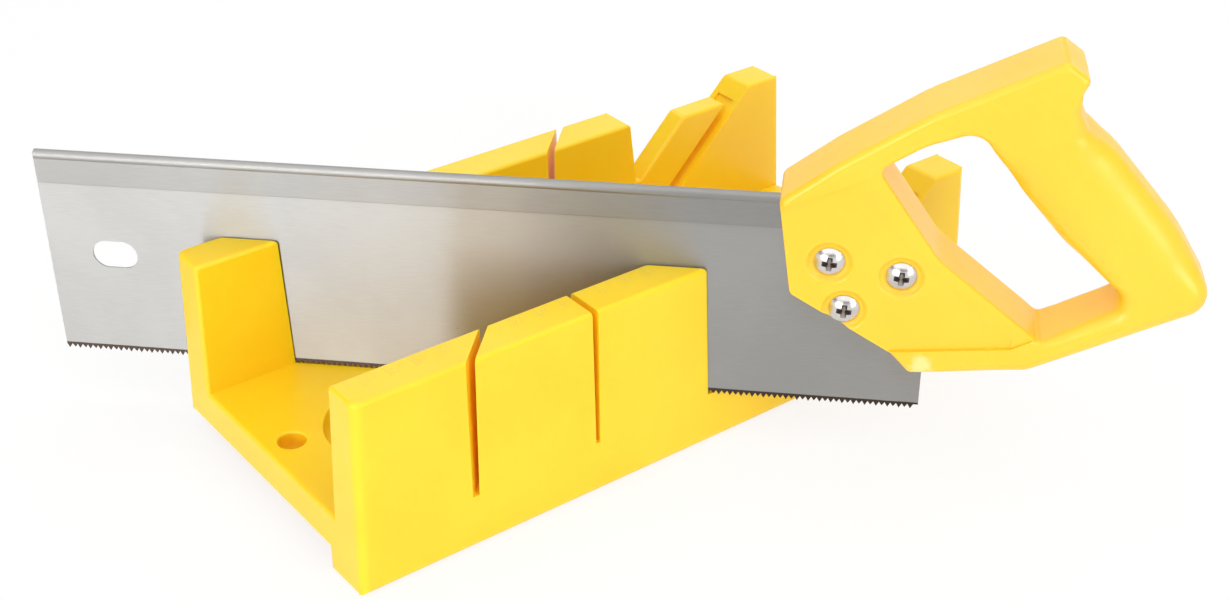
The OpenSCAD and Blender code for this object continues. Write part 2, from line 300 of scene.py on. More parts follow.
print("the box's ends at bench height, in mm from its middle:", round(end_x(0) / MM, 1))

# %% Box: which edges are rounded
near = 0.05 * MM
cut_at = Vector((-44, -13)) * MM
cut_angles = [math.radians(angle) for angle in (-45, 0, 45)]
slot_half = 1.4 * MM
end_block_l = 16.7 * MM
slope_start = top_end - end_block_l - wall_top
block_inset = 1 * MM


def same(value, place):
    return abs(value - place) < near


def turns(edge, least=25):
    """True for an edge that sticks out by more than some degrees."""
    return len(edge.link_faces) == 2 and edge.calc_face_angle_signed() > math.radians(least)


def slot_distance(place):
    """How far a place is from the middle of the nearest of the three slots."""
    away = place.xy - cut_at
    return min(abs(away.x * math.cos(a) + away.y * math.sin(a)) for a in cut_angles)


def inside_wall(corner, margin):
    z = corner.co.z
    return inner_y(z) + margin < abs(corner.co.y) < outer_y(z) - margin


def in_recess(corner):
    """True for a corner of the shallow recess in the end block's slope."""
    on_slope = same(corner.co.x - corner.co.z, slope_start)
    return on_slope and inside_wall(corner, near) and corner.co.z < wall_top - near


def on_block(corner):
    """True for a corner of the leaning block, whose sides lie inside the wall's faces."""
    return inside_wall(corner, block_inset) and corner.co.x > 0


print("edges of the box that stick out:", sum(turns(e) for e in box.edges))

# %% Box: tall corners
tall_corner_r = 4.0 * MM
hook_corner_r = 1.2 * MM


def pick(test):
    """Outstanding edges of the box whose two corners both pass a test."""
    return [e for e in box.edges if turns(e) and all(test(v) for v in e.verts)]


def soften(edges, radius, steps):
    if edges:
        bmesh.ops.bevel(box, geom=edges, offset=radius, offset_type="OFFSET", segments=steps,
                        profile=0.5, affect="EDGES", material=-1, clamp_overlap=False)
    print("softened", len(edges), "edges by", round(radius / MM, 2), "mm")


def tall_corner(v):
    return same(abs(v.co.x), end_x(v.co.z)) and same(abs(v.co.y), outer_y(v.co.z))


def hook_corner(v):
    return same(abs(v.co.x), end_x(v.co.z)) and same(v.co.y, hook_back) and v.co.z < near


soften(pick(tall_corner), tall_corner_r, 6)
soften(pick(hook_corner), hook_corner_r, 3)

# %% Box: rims of the walls and the floor's ends
screw_hole_inset = 8.8 * MM
screw_hole_x = top_end - screw_hole_inset
screw_hole_y = 2 * MM
screw_hole_r = 5.2 * MM
finger_dish_at = Vector((46 * MM - top_end, -10 * MM))
finger_dish_r = 27 * MM
wall_rim_r = 1.5 * MM
block_rim_r = 1.6 * MM
hole_rim_r = 0.8 * MM
dish_rim_r = 0.6 * MM


def wall_rim(v):
    above = v.co.z > floor_top + near
    end = same(abs(v.co.x), end_x(v.co.z)) and v.co.z > floor_top - near
    return (above or end) and not (in_recess(v) or on_block(v))


def rounded_rim(e):
    """True for a rim of a wall that isn't a side of a slot."""
    middle = (e.verts[0].co + e.verts[1].co) / 2
    return turns(e) and all(wall_rim(v) for v in e.verts) and slot_distance(middle) >= slot_half


def block_rim(v):
    return on_block(v) and v.co.z > floor_top + near and not in_recess(v)


def hole_rim(v):
    away = Vector((abs(v.co.x) - screw_hole_x, v.co.y - screw_hole_y))
    return same(away.length, screw_hole_r) and same(v.co.z, floor_top)


def dish_rim(v):
    return same((v.co.xy - finger_dish_at).length, finger_dish_r) and same(v.co.z, floor_top)


soften([e for e in box.edges if rounded_rim(e)], wall_rim_r, 4)
soften(pick(block_rim), block_rim_r, 4)
soften(pick(hole_rim), hole_rim_r, 3)
soften(pick(dish_rim), dish_rim_r, 3)

# %% Box: lower edges
outer_band = 1.0 * MM
lower_rim_r = 1.0 * MM


def lower_rim(v):
    z = v.co.z
    outside = abs(v.co.x) > end_x(z) - outer_band or abs(v.co.y) > outer_y(z) - outer_band
    hook = same(z, hook_low) and (outside or same(v.co.y, hook_back))
    return hook or (outside and same(z, 0) and v.co.y > hook_back)


soften(pick(lower_rim), lower_rim_r, 3)

# %% Box: the finished object
crease = math.radians(32)


def mesh_of(name, shape):
    """A mesh of a bmesh, which is freed."""
    mesh = bpy.data.meshes.new(name)
    shape.to_mesh(mesh)
    shape.free()
    return mesh


def finished(name, shape, body, finish, nodes=()):
    """Makes a piece of a bmesh: smooth shaded, creased at sharp edges, riding on its body."""
    for face in shape.faces:
        face.smooth = True
    shape.normal_update()
    for edge in shape.edges:
        edge.smooth = len(edge.link_faces) == 2 and edge.calc_face_angle() < crease
    mesh = mesh_of(name, shape)
    mesh.materials.append(finish)
    piece = in_scene(name, mesh)
    weighted = piece.modifiers.new("even shading", "WEIGHTED_NORMAL")
    weighted.keep_sharp = True
    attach(piece, body)
    if nodes:
        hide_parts(*nodes)
    print("piece", name, "has", len(mesh.polygons), "faces")
    return piece


finished("box_moulding", box, "box", box_plastic, ["mitre_box"])

# %% [markdown]
# ## Ruler
#
# A centimetre ruler is moulded along the user's wall. It counts from the left end, and starts again at the
# square slot, so that a length can be set from the cut. Lines and numbers are raised by a tenth of a
# millimetre, and their colour is painted a little paler than the wall's, a painted highlight where they
# catch the light. Numbers come from a text object, which is made a mesh before it is put in its place.

# %% Ruler: lines and numbers
ruler_rise = 0.10 * MM
ruler_sink = 0.10 * MM
ruler_h = ruler_rise + ruler_sink
ruler_z = wall_top + (ruler_rise - ruler_sink) / 2
ruler_margin = 1.8 * MM
inner_edge = wall_t - top_side - ruler_margin
line_w = 0.35 * MM
long_line = 6.0 * MM
short_line = 3.0 * MM
digit_size = 5.0 * MM


def raised_line(shape, x, length):
    size = Matrix.Diagonal((line_w, length, ruler_h, 1))
    middle = Vector((x, inner_edge - length / 2, ruler_z))
    bmesh.ops.create_cube(shape, size=1.0, matrix=Matrix.Translation(middle) @ size)


def raised_number(shape, number, x, y):
    text = bpy.data.curves.new("number", "FONT")
    text.body = str(number)
    text.size = digit_size
    text.align_x = "LEFT"
    text.align_y = "CENTER"
    text.extrude = ruler_h / 2
    text.resolution_u = 3
    holder = bpy.data.objects.new("number", text)
    mesh = bpy.data.meshes.new_from_object(holder)
    mesh.transform(Matrix.Translation((x, y, ruler_z)))
    shape.from_mesh(mesh)
    for made, store in ((holder, bpy.data.objects), (text, bpy.data.curves), (mesh, bpy.data.meshes)):
        store.remove(made)


print("ruler lines in mm:", long_line / MM, "and", short_line / MM)

# %% Ruler: two scales
half_cm = 5 * MM
scale_end = 56 * MM
line_clear = 3.2 * MM
number_clear = 4.2 * MM
number_gap = 0.9 * MM


def ruler_scale(shape, start, stop):
    """Lines every half centimetre from start to stop, with a number beside each whole one."""
    number_y = inner_edge - long_line + digit_size / 2
    for count in range(1, int((stop - start) / half_cm)):
        x = start + count * half_cm
        whole = count % 2 == 0
        length = long_line if whole else short_line
        if slot_distance(Vector((x, inner_edge - length / 2))) <= line_clear:
            continue
        raised_line(shape, x, length)
        number_middle = Vector((x + digit_size / 2, number_y))
        if whole and slot_distance(number_middle) > number_clear:
            raised_number(shape, count // 2, x + number_gap, number_y)


ruler = bmesh.new()
ruler_scale(ruler, -top_end, cut_at.x)
ruler_scale(ruler, cut_at.x, scale_end)
# The marks' plastic is painted paler than the box's: a painted highlight on the raised marks.
ruler_highlight_plastic = moulded_plastic("ruler_highlight_plastic", rgb(0.98, 0.73, 0.09), rgb(0.97, 0.70, 0.07), 0.36)
finished("ruler_marks", ruler, "box", ruler_highlight_plastic)

# %% [markdown]
# ## The saw's own frame
#
# The saw stands askew in the box, which makes its sizes awkward in the box's frame. One matrix puts shapes
# that are drawn straight, with X along the blade, Y away from the user and Z up from the tooth tips, into
# place. It comes from the direction of the sawing stroke and from where the blade's solid is.

# %% Saw frame
stroke = Vector(frame["joints"][0]["axis"])
blade_low, blade_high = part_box("saw_blade")
blade_middle = (blade_low + blade_high) / 2
saw_start = blade_middle - stroke * (blade_middle.y / stroke.y)
saw_turn = math.atan2(stroke.y, stroke.x)
saw_place = (
    Matrix.Translation((saw_start.x, saw_start.y, blade_low.z))
    @ Matrix.Rotation(saw_turn, 4, "Z")
)
to_saw = saw_place.inverted()


def saw_box(node):
    """Lowest and highest corner of a CAD node in the saw's own frame."""
    axes = list(zip(*[to_saw @ v.co for v in frame["nodes"][node].data.vertices]))
    return Vector([min(axis) for axis in axes]), Vector([max(axis) for axis in axes])


blade_from, blade_to = saw_box("saw_blade")
back_from, back_to = saw_box("saw_back")
grip_from, grip_to = saw_box("saw_handle")
blade_t = blade_to.y - blade_from.y
handle_t = grip_to.y - grip_from.y
handle_at = Vector((blade_to.x, back_to.z))
print("blade from", round(blade_from.x / MM, 1), "to", round(blade_to.x / MM, 1), "mm")

# %% [markdown]
# ## Steel
#
# The blade is rolled strip. Rolling and grinding leave a fine grain along its length, so what it mirrors is
# smeared upright: light stays a soft column and the yellow wall shows as a tan band. An anisotropic shader
# does this. The blade also has small pits and specks, and its teeth are hardened dark by heat.

# %% Steel finishes
teeth_band = blade_low.z + 2.7 * MM
teeth_fade = 0.3 * MM
teeth_ragged = 0.4 * MM


def along_saw(paint):
    """Object coordinates turned so that X runs along the saw."""
    return paint.node("Mapping", {}, {"Vector": paint.place(), "Rotation": (0.0, 0.0, -saw_turn)})


def stretched(paint, where, share):
    """The same coordinates, drawn out along the saw."""
    return paint.node("VectorMath", {"operation": "MULTIPLY"}, {0: where, 1: (share, 1.0, 1.0)})


def specks(paint, where, scale, size):
    """Small scattered dots: 1 in a dot and 0 between them."""
    cells = paint.node("TexVoronoi", {}, {"Vector": where, "Scale": scale}, "Distance")
    chance = paint.node("SeparateColor", {}, {"Color": cells.also("Color")}, "Red")
    return paint.step(cells, size * 0.5, size, 1.0, 0.0) * paint.step(chance, 0.55, 0.95)


def rolled_steel(name, bright, dull, base_rough, teeth_to=None):
    paint = Finish(name)
    where = along_saw(paint)
    grain = paint.noise(stretched(paint, where, 0.02), scale=6000.0, detail=3.0, roughness=0.6)
    streak = paint.noise(stretched(paint, where, 0.06), scale=2600.0, detail=3.0, roughness=0.6)
    cloud = paint.noise(where, scale=18.0, detail=3.0)
    pits = specks(paint, where, scale=95.0, size=0.030)
    glints = specks(paint, where, scale=70.0, size=0.022)
    colour = paint.mix(paint.step(cloud * 0.65 + streak * 0.35, 0.35, 0.65), bright, dull)
    colour = paint.mix(pits * 0.7, colour, rgb(0.07, 0.055, 0.045))
    colour = paint.mix(glints * 0.5, colour, rgb(0.85, 0.84, 0.82))
    rough = base_rough + (grain - 0.5) * 0.08 + pits * 0.3
    if teeth_to:
        height = paint.node("SeparateXYZ", {}, {"Vector": where}, "Z")
        ragged = height + (streak - 0.5) * teeth_ragged
        burnt = paint.step(ragged, teeth_to - teeth_fade, teeth_to, 1.0, 0.0)
        colour = paint.mix(burnt * 0.9, colour, rgb(0.055, 0.031, 0.018))
        rough = rough + burnt * 0.15
    return paint.surface({
        "Base Color": colour,
        "Metallic": 1.0,
        "Roughness": rough,
        "Anisotropic": 1.0,
        "Anisotropic Rotation": 0.25,
        "Normal": paint.bump(grain, 0.05, 0.01 * MM),
    })


blade_steel = rolled_steel(
    "blade_steel", rgb(0.40, 0.395, 0.385), rgb(0.36, 0.355, 0.345), 0.34, teeth_band
)
back_steel = rolled_steel("back_steel", rgb(0.33, 0.325, 0.315), rgb(0.295, 0.29, 0.28), 0.34)

# %% [markdown]
# ## Blade
#
# A saw would jam if its teeth were as thin as its plate, so every second tooth is bent to the other side.
# The solid's teeth are flat, so a merged copy has its tooth tips moved by turns. A shader's grain follows
# the texture space of a mesh, so that space is centred far behind the blade, where its circles run straight
# along the plate.

# %% Blade
tooth_pitch = 2.1 * MM
tooth_set = 0.32 * MM
grain_centre = 20.0


def straight_grain(piece):
    """Makes the shader's own grain run along the saw."""
    across = Vector((-stroke.y, stroke.x, 0))
    piece.data.use_auto_texspace = False
    piece.data.texspace_location = across * grain_centre
    piece.data.texspace_size = (1.0, 1.0, 1.0)


blade = merged_copy("saw_blade")
for corner in blade.verts:
    spot = to_saw @ corner.co
    if spot.z < near:
        tooth = int((spot.x - blade_from.x) / tooth_pitch)
        side = 1 if tooth % 2 else -1
        corner.co = saw_place @ (spot + Vector((0, side * tooth_set, 0)))
straight_grain(finished("blade_plate", blade, "saw", blade_steel, ["saw_blade"]))

# %% [markdown]
# ## Folded back
#
# A strip of steel is folded over the blade's upper edge and pressed shut, and the fold is left as a round
# bead that stiffens the saw. A bevelled block would lose that bead, so half of the section is drawn as a
# line, the bead as an arc, and it is mirrored, filled and pulled along the blade. The function that pulls
# a face into a solid also makes the cutters further on.

# %% Folded back: its section
bead_r = 1.95 * MM
bead_steps = 14
flank = 1.45 * MM
lip = 0.35 * MM
lip_round = 0.3 * lip


def back_section():
    """Points of the section at the tip, from the slit round the bead to the slit's other side."""
    bead_z = back_to.z - bead_r
    lowest = math.asin(flank / bead_r)
    slit = blade_t / 2
    half = [(slit, blade_to.z), (slit, back_from.z), (flank - lip, back_from.z)]
    half += [(flank - lip_round, back_from.z + lip_round), (flank, back_from.z + lip)]
    for i in range(bead_steps + 1):
        angle = lowest + (math.pi - lowest) * i / bead_steps
        half.append((bead_r * math.sin(angle), bead_z - bead_r * math.cos(angle)))
    ring = half + [(-y, z) for y, z in reversed(half[:-1])]
    return [(back_from.x, y, z) for y, z in ring]


print("section of the back:", len(back_section()), "points")


# %% Folded back: pulled along the blade
def closed(shape):
    """The same bmesh with its seams joined and its faces turned outwards."""
    bmesh.ops.remove_doubles(shape, verts=shape.verts, dist=weld)
    bmesh.ops.recalc_face_normals(shape, faces=shape.faces)
    return shape


def new_corners(made):
    """The corners among what an extrusion made."""
    return [v for v in made["geom"] if isinstance(v, bmesh.types.BMVert)]


def prism(corners, lift):
    """A closed solid: a face through corners, pulled along a vector."""
    shape = bmesh.new()
    face = shape.faces.new([shape.verts.new(c) for c in corners])
    made = bmesh.ops.extrude_face_region(shape, geom=[face])
    bmesh.ops.translate(shape, verts=new_corners(made), vec=lift)
    return closed(shape)


back = prism(back_section(), (back_to.x - back_from.x, 0, 0))
bmesh.ops.transform(back, matrix=saw_place, verts=back.verts)
straight_grain(finished("folded_back", back, "saw", back_steel, ["saw_back"]))

# %% [markdown]
# ## Handle
#
# The handle is one moulding with a closed grip. Its outline is a few corners with their radii, and its
# edges are rolled over by a different amount at each: crisp along the cheek, full where the palm closes
# round it. A bevel has one width, so the outline is extruded ring by ring from the near face to the far
# one, and the hand hole in the same way with its edges flared. The two flats between them are then filled.

# %% Handle: corners
# Along from the blade's rear end, up from the back's top, corner radius, depth and width of the edge, in mm
handle_outline = [
    (-49.6, -34, 3, 2.5, 2.5), (-54.8, 3.2, 4, 2.5, 2.5), (-35.5, 18.4, 40, 2.5, 2.5),
    (-5.5, 38.5, 60, 2.5, 2.5), (36.6, 59.97, 3, 2.5, 2.5), (45.4, 53.6, 3, 2.5, 2.5),
    (43.0, 48.4, 4, 2.5, 2.5), (43.4, 40.8, 5, 4, 5), (47.0, 33.9, 4, 6, 8), (56.6, 26.9, 40, 9, 14),
    (82.4, -3, 80, 9, 14), (98, -29.6, 9, 6, 7), (36.3, -60.4, 12, 5, 5), (-5.5, -63.7, 3, 2.5, 2.5),
    (-12.2, -56.3, 3, 2.5, 2.5),
]
hole_outline = [
    (-20.9, 16.7, 3, 2.4, 2.4), (-5.5, 26.7, 30, 2.5, 2.5), (11.6, 32.6, 8, 3, 3),
    (27.2, 9.6, 60, 9, 14), (43.9, -9.6, 50, 9, 14), (68.9, -29.9, 5, 5, 6), (46.5, -43.2, 20, 4, 4),
    (39.8, -47.1, 3, 3, 3), (34.6, -42.9, 20, 2.4, 2.4), (2.0, -16.5, 20, 2.4, 2.4),
]
print("corners of the handle:", len(handle_outline), "and of its hole:", len(hole_outline))

# %% Handle: rounded outlines
arc_steps = 8
run_step = 3 * MM


def on_handle(along, up):
    """A spot in the saw's plane, from mm behind the blade's rear end and above the back's top."""
    return handle_at + Vector((along, up)) * MM


def eased(share):
    """A share that starts and ends gently."""
    return share * share * (3 - 2 * share)


def pairs(ring):
    """Each member of a closed ring with the next one."""
    return list(zip(ring, ring[1:] + ring[:1]))


def corner_arc(before, corner, after, radius):
    """Points of a corner that is rounded with a radius."""
    u = (before - corner).normalized()
    v = (after - corner).normalized()
    half = u.angle(v) / 2
    centre = corner + (u + v).normalized() * (radius / math.sin(half))
    first = corner + u * (radius / math.tan(half)) - centre
    last = corner + v * (radius / math.tan(half)) - centre
    return [centre + first.slerp(last, i / arc_steps) * radius for i in range(arc_steps + 1)]


def evened(path):
    """The same outline with points along its straight runs, where the rounding changes gently."""
    even = []
    for (a, first), (b, last) in pairs(path):
        steps = max(1, round((b - a).length / run_step))
        for share in [i / steps for i in range(steps)]:
            even.append((a.lerp(b, share), first.lerp(last, eased(share))))
    return even


def rounded_outline(corners):
    """Points of an outline in the saw's frame, each with the depth and width of its rolled edge."""
    spots = [on_handle(along, up) for along, up, _, _, _ in corners]
    path = []
    for i, (_, _, radius, deep, wide) in enumerate(corners):
        after = spots[(i + 1) % len(spots)]
        edge = Vector((deep, wide)) * MM
        path += [(p, edge) for p in corner_arc(spots[i - 1], spots[i], after, radius * MM)]
    return evened(path)


handle_path = rounded_outline(handle_outline)
hole_path = rounded_outline(hole_outline)
print("handle outline:", len(handle_path), "points, hand hole:", len(hole_path))

# %% Handle: rings
edge_steps = 8
seam_half = 0.5 * MM
seam_rise = 0.12 * MM


def inward(path, i):
    """Direction in the outline's plane, square to it, to its inside."""
    along = (path[(i + 1) % len(path)][0] - path[i - 1][0]).normalized()
    return Vector((along.y, -along.x))


def edge_ring(path, grow, side, angle):
    """Places of a ring on a rolled edge: 90 degrees is on the flat face and 0 where the side starts."""
    places = []
    for i, (spot, (deep, wide)) in enumerate(path):
        moved = spot + inward(path, i) * grow * (wide * (1 - math.cos(angle)) + seam_rise)
        places.append(Vector((moved.x, side * (handle_t / 2 - deep * (1 - math.sin(angle))), moved.y)))
    return places


def seam_ring(path, grow, y, draw):
    """Places of a ring along the moulding seam in the middle of the handle's thickness."""
    spots = [spot + inward(path, i) * grow * draw for i, (spot, _) in enumerate(path)]
    return [Vector((spot.x, y, spot.y)) for spot in spots]


def ring_stack(path, grow):
    """All rings of an outline that is rolled over, from the near face to the far one."""
    angles = [math.pi / 2 * (1 - i / edge_steps) for i in range(edge_steps + 1)]
    stack = [edge_ring(path, grow, -1, angle) for angle in angles]
    stack.append(seam_ring(path, grow, -seam_half, seam_rise))
    stack.append(seam_ring(path, grow, 0, 0))
    stack.append(seam_ring(path, grow, seam_half, seam_rise))
    return stack + [edge_ring(path, grow, 1, angle) for angle in reversed(angles)]


outer_stack = ring_stack(handle_path, 1)
hole_stack = ring_stack(hole_path, -1)
print("rings from face to face:", len(outer_stack))


# %% Handle: blank
def next_ring(shape, ring):
    """Extrudes a closed ring of corners and returns the new ring in the same order."""
    edges = [shape.edges.get(pair) for pair in pairs(ring)]
    fresh = set(new_corners(bmesh.ops.extrude_edge_only(shape, edges=edges)))
    others = [[e.other_vert(v) for e in v.link_edges] for v in ring]
    return [next(v for v in linked if v in fresh) for linked in others]


def rolled_rim(shape, stack):
    """Extrudes a rim through a stack of rings, and returns its first and last ring of corners."""
    ring = [shape.verts.new(place) for place in stack[0]]
    for pair in pairs(ring):
        shape.edges.new(pair)
    first = ring
    for places in stack[1:]:
        ring = next_ring(shape, ring)
        for corner, place in zip(ring, places):
            corner.co = place
    return first, ring


handle = bmesh.new()
outer_rings = rolled_rim(handle, outer_stack)
hole_rings = rolled_rim(handle, hole_stack)
for outer, inner in zip(outer_rings, hole_rings):
    edges = [handle.edges.get(pair) for pair in pairs(outer) + pairs(inner)]
    bmesh.ops.triangle_fill(handle, edges=edges, use_beauty=True)
bmesh.ops.recalc_face_normals(handle, faces=handle.faces)
print("handle blank:", len(handle.faces), "faces, closed:", all(e.is_manifold for e in handle.edges))

# %% [markdown]
# ## Handle: cuts
#
# The mould also forms a sunk cheek on each side with a slightly deeper panel in it, a slit for the blade
# and its back, and dished seats for the screws. These are drawn as cutters and taken out with a Boolean,
# whose result is kept as a mesh. The cheek gets a little deeper towards its lower rim.

# %% Handle: cheeks
# Along and up in mm, from the same point as the handle's outline
cheek_outline = [
    (-60.5, -2.3), (-28.8, 12), (-18.1, 18), (-14, 17.5), (10, -14), (42, -43.5), (40.6, -44.2),
    (29.8, -50.3), (-12.8, -54.9), (-20.5, -60), (-60.5, -40),
]
panel_outline = [
    (-60.5, -2.3), (-28.8, 12), (-9, -12.3), (29.8, -46.8), (29.8, -50.3), (-12.8, -54.9),
    (-20.5, -60), (-60.5, -40),
]
cheek_high = 12 * MM
cheek_low = -55 * MM
cheek_shallow = 0.80 * MM
cheek_deep = 0.95 * MM
panel_extra = 0.42 * MM
overshoot = 3 * MM


def cheek_depth(up):
    share = (cheek_high - up) / (cheek_high - cheek_low)
    return cheek_shallow + (cheek_deep - cheek_shallow) * share


def cheek_cutter(side, outline, extra):
    corners = []
    for along, up in outline:
        spot = on_handle(along, up)
        corners.append((spot.x, side * (handle_t / 2 - cheek_depth(up * MM) - extra), spot.y))
    return prism(corners, (0, side * overshoot, 0))


cheeks = {}
for side in (-1, 1):
    cheeks[side] = [
        cheek_cutter(side, cheek_outline, 0),
        cheek_cutter(side, panel_outline, panel_extra),
    ]
print("cheeks from", cheek_shallow / MM, "to", cheek_deep / MM, "mm deep, cut on", len(cheeks), "sides")

# %% Handle: slit for the blade and its back
fit = 0.1 * MM
slit_corner_along = 24.5 * MM
slit_corner_up = 23 * MM


def slit_cutter():
    half = blade_t / 2 + fit
    rear = blade_to.x + fit
    top = blade_to.z + fit
    outline = [(blade_from.x, -overshoot), (rear, -overshoot), (rear, top - slit_corner_up)]
    outline += [(rear - slit_corner_along, top), (blade_from.x, top)]
    return prism([(x, -half, z) for x, z in outline], (0, 2 * half, 0))


def back_room_cutter():
    half = bead_r + fit
    low = back_from.z - fit
    high = back_to.z + fit
    sides = [(-half, low), (half, low), (half, high), (-half, high)]
    return prism([(blade_from.x, y, z) for y, z in sides], (back_to.x + fit - blade_from.x, 0, 0))


slit = [slit_cutter(), back_room_cutter()]
print("slit", round((blade_t + 2 * fit) / MM, 2), "mm wide, cut by", len(slit), "cutters")

# %% Handle: screw seats
screw_spots = {
    "front": on_handle(-36, -20.5),
    "rear": on_handle(-10.6, -24.6),
    "lower": on_handle(-29.8, -39.3),
}
head_r = 5.5 * MM
sleeve_r = 3.4 * MM
seat_deep = 2.8 * MM
seat = handle_t / 2 - seat_deep
seats_up = -28 * MM
dish_flat = 6.3 * MM
dish_r = 8.7 * MM
dish_steps = 10
spin_steps = 48


def spun(profile, spot, side):
    """A closed solid: a profile of radius and distance from the saw's plane, spun on a screw's axis."""
    shape = bmesh.new()
    centre = Vector((spot.x, 0, spot.y))
    line = [shape.verts.new(centre + Vector((r, side * y, 0))) for r, y in profile]
    edges = [shape.edges.new(pair) for pair in zip(line, line[1:])]
    bmesh.ops.spin(shape, geom=line + edges, cent=centre, axis=(0, 1, 0), angle=2 * math.pi,
                   steps=spin_steps, use_merge=True)
    return closed(shape)


def seat_profile():
    """A bore for the sleeve, a flat for the head and a dish that rises gently to the panel."""
    panel = handle_t / 2 - cheek_depth(seats_up) - panel_extra
    profile = [(0, 0), (sleeve_r + fit, 0), (sleeve_r + fit, seat), (head_r + fit, seat)]
    for share in [i / dish_steps for i in range(dish_steps + 1)]:
        profile.append((dish_flat + (dish_r - dish_flat) * share, seat + (panel - seat) * eased(share)))
    return profile + [(dish_r + 2 * fit, handle_t), (0, handle_t)]


seats = {}
for side in (-1, 1):
    seats[side] = [spun(seat_profile(), spot, side) for spot in screw_spots.values()]
print("screw seats on each side:", len(seats[-1]))


# %% Handle: carving
def carved(blank, cutters):
    """A bmesh with cutters taken out of it, one after another."""
    body = in_scene("blank", mesh_of("blank", blank))
    tools = [in_scene("cutter", mesh_of("cutter", cutter)) for cutter in cutters]
    for tool in tools:
        cut = body.modifiers.new("cut", "BOOLEAN")
        cut.operation = "DIFFERENCE"
        cut.solver = "EXACT"
        cut.object = tool
    result = body.evaluated_get(bpy.context.evaluated_depsgraph_get())
    shape = bmesh.new()
    shape.from_mesh(result.data)
    for made in [body] + tools:
        mesh = made.data
        bpy.data.objects.remove(made)
        bpy.data.meshes.remove(mesh)
    return shape


cutters = slit + cheeks[-1] + seats[-1] + cheeks[1] + seats[1]
handle = carved(handle, cutters)
print("handle cut by", len(cutters), "cutters:", len(handle.faces), "faces")

# %% Handle: finish and object
scuff_spot = on_handle(-1, -59.5)
scuff_place = saw_place @ Vector((scuff_spot.x, -handle_t / 2, scuff_spot.y))
# The handle's yellow is painted a little deeper than the box's: painted shade that offsets the stronger
# light the handle gets.
handle_plastic = moulded_plastic(
    "handle_plastic", rgb(0.98, 0.59, 0.035), rgb(0.97, 0.565, 0.028), 0.28, scuff_place
)
bmesh.ops.transform(handle, matrix=saw_place, verts=handle.verts)
finished("handle_grip", handle, "saw", handle_plastic, ["saw_handle"])

# %% [markdown]
# ## Handle screws
#
# Three chromed screws with domed heads and a cross recess hold the blade, and turn into sleeve nuts whose
# smooth domes show on the far side. Both are turned parts, so a profile is spun about the axis. The cross
# tapers towards its bottom, as the driver does, and is cut out of the dome. Its faces carry a mark, which
# the chrome reads to paint them darker: painted shade in the recess.


# %% Chrome
def chrome(name):
    paint = Finish(name)
    place = paint.place()
    worn = paint.noise(place, scale=900.0, detail=4.0, roughness=0.6)
    haze = paint.noise(place, scale=160.0, detail=3.0, roughness=0.6)
    colour = paint.mix(paint.step(haze, 0.35, 0.7), rgb(0.68, 0.65, 0.63), rgb(0.58, 0.555, 0.54))
    # The cross recess is painted darker and rougher here: painted shade in the recess.
    recess_shade = paint.node("Attribute", {"attribute_name": "recess"}, {}, "Fac")
    colour = paint.mix(recess_shade, colour, rgb(0.27, 0.235, 0.215))
    return paint.surface({
        "Base Color": colour,
        "Metallic": 1.0,
        "Roughness": 0.18 + worn * 0.10 + recess_shade * 0.12,
        "Normal": paint.bump(worn, 0.04, 0.02 * MM),
    })


screw_chrome = chrome("screw_chrome")

# %% Screws: domed head and cross
head_h = 2.8 * MM
head_edge = 0.6 * MM
dome_rise = head_h - head_edge
dome_ball = (head_r ** 2 + dome_rise ** 2) / (2 * dome_rise)
dome_steps = 10
cross_l = 6.6 * MM
cross_w = 2.3 * MM
cross_d = 2.2 * MM
cross_above = 0.2 * MM
cross_taper = 0.35
cross_turn = math.radians(4)
shade_below_dome = 0.08 * MM
shade_above_seat = 0.3 * MM


def dome():
    """Points of a domed head from its rim on the seat to its top, as radius and distance."""
    widest = math.asin(head_r / dome_ball)
    points = [(head_r, seat)]
    for i in range(dome_steps + 1):
        angle = widest * (1 - i / dome_steps)
        points.append((dome_ball * math.sin(angle), seat + head_h - dome_ball * (1 - math.cos(angle))))
    return points


def cross_cutter(spot):
    """A cross that narrows towards its bottom, standing on the screw's axis."""
    long = cross_l / 2
    half = cross_w / 2
    arm = [Vector(p) for p in ((half, long), (-half, long), (-half, half))]
    ring = [Matrix.Rotation(turn * math.pi / 2, 2) @ p for turn in range(4) for p in arm]
    top = -(seat + head_h) - cross_above
    corners = [Vector((spot.x + p.x, top, spot.y + p.y)) for p in ring]
    shape = prism(corners, (0, cross_d + cross_above, 0))
    axis = Vector((spot.x, 0, spot.y))
    lower = [v for v in shape.verts if v.co.y > top + near]
    bmesh.ops.scale(shape, verts=lower, vec=(cross_taper, 1, cross_taper), space=Matrix.Translation(-axis))
    bmesh.ops.rotate(shape, verts=shape.verts, cent=axis, matrix=Matrix.Rotation(cross_turn, 3, "Y"))
    return shape


def mark_recess(shape, spot):
    """Marks the faces of the cross, which lie under the dome and get the chrome's painted shade."""
    layer = shape.faces.layers.float.new("recess")
    centre = Vector((spot.x, dome_ball - seat - head_h, spot.y))
    for face in shape.faces:
        middle = face.calc_center_median()
        away = Vector((middle.x - spot.x, middle.z - spot.y)).length
        under = (middle - centre).length < dome_ball - shade_below_dome
        above = middle.y < -seat - shade_above_seat
        face[layer] = float(under and above and away < cross_l / 2)


print("domes on a ball of", round(dome_ball / MM, 1), "mm radius")

# %% Screws and nuts
shank_r = 2.4 * MM
shank_l = 14 * MM
bore_room = 1 * MM
sleeve_gap = 4 * MM


def screw(name, spot):
    shank = [(0, seat - shank_l), (shank_r, seat - shank_l), (shank_r, seat)]
    shape = carved(spun(shank + dome(), spot, -1), [cross_cutter(spot)])
    mark_recess(shape, spot)
    bmesh.ops.transform(shape, matrix=saw_place, verts=shape.verts)
    finished(name + "_screw_head", shape, "saw", screw_chrome, [name + "_screw"])


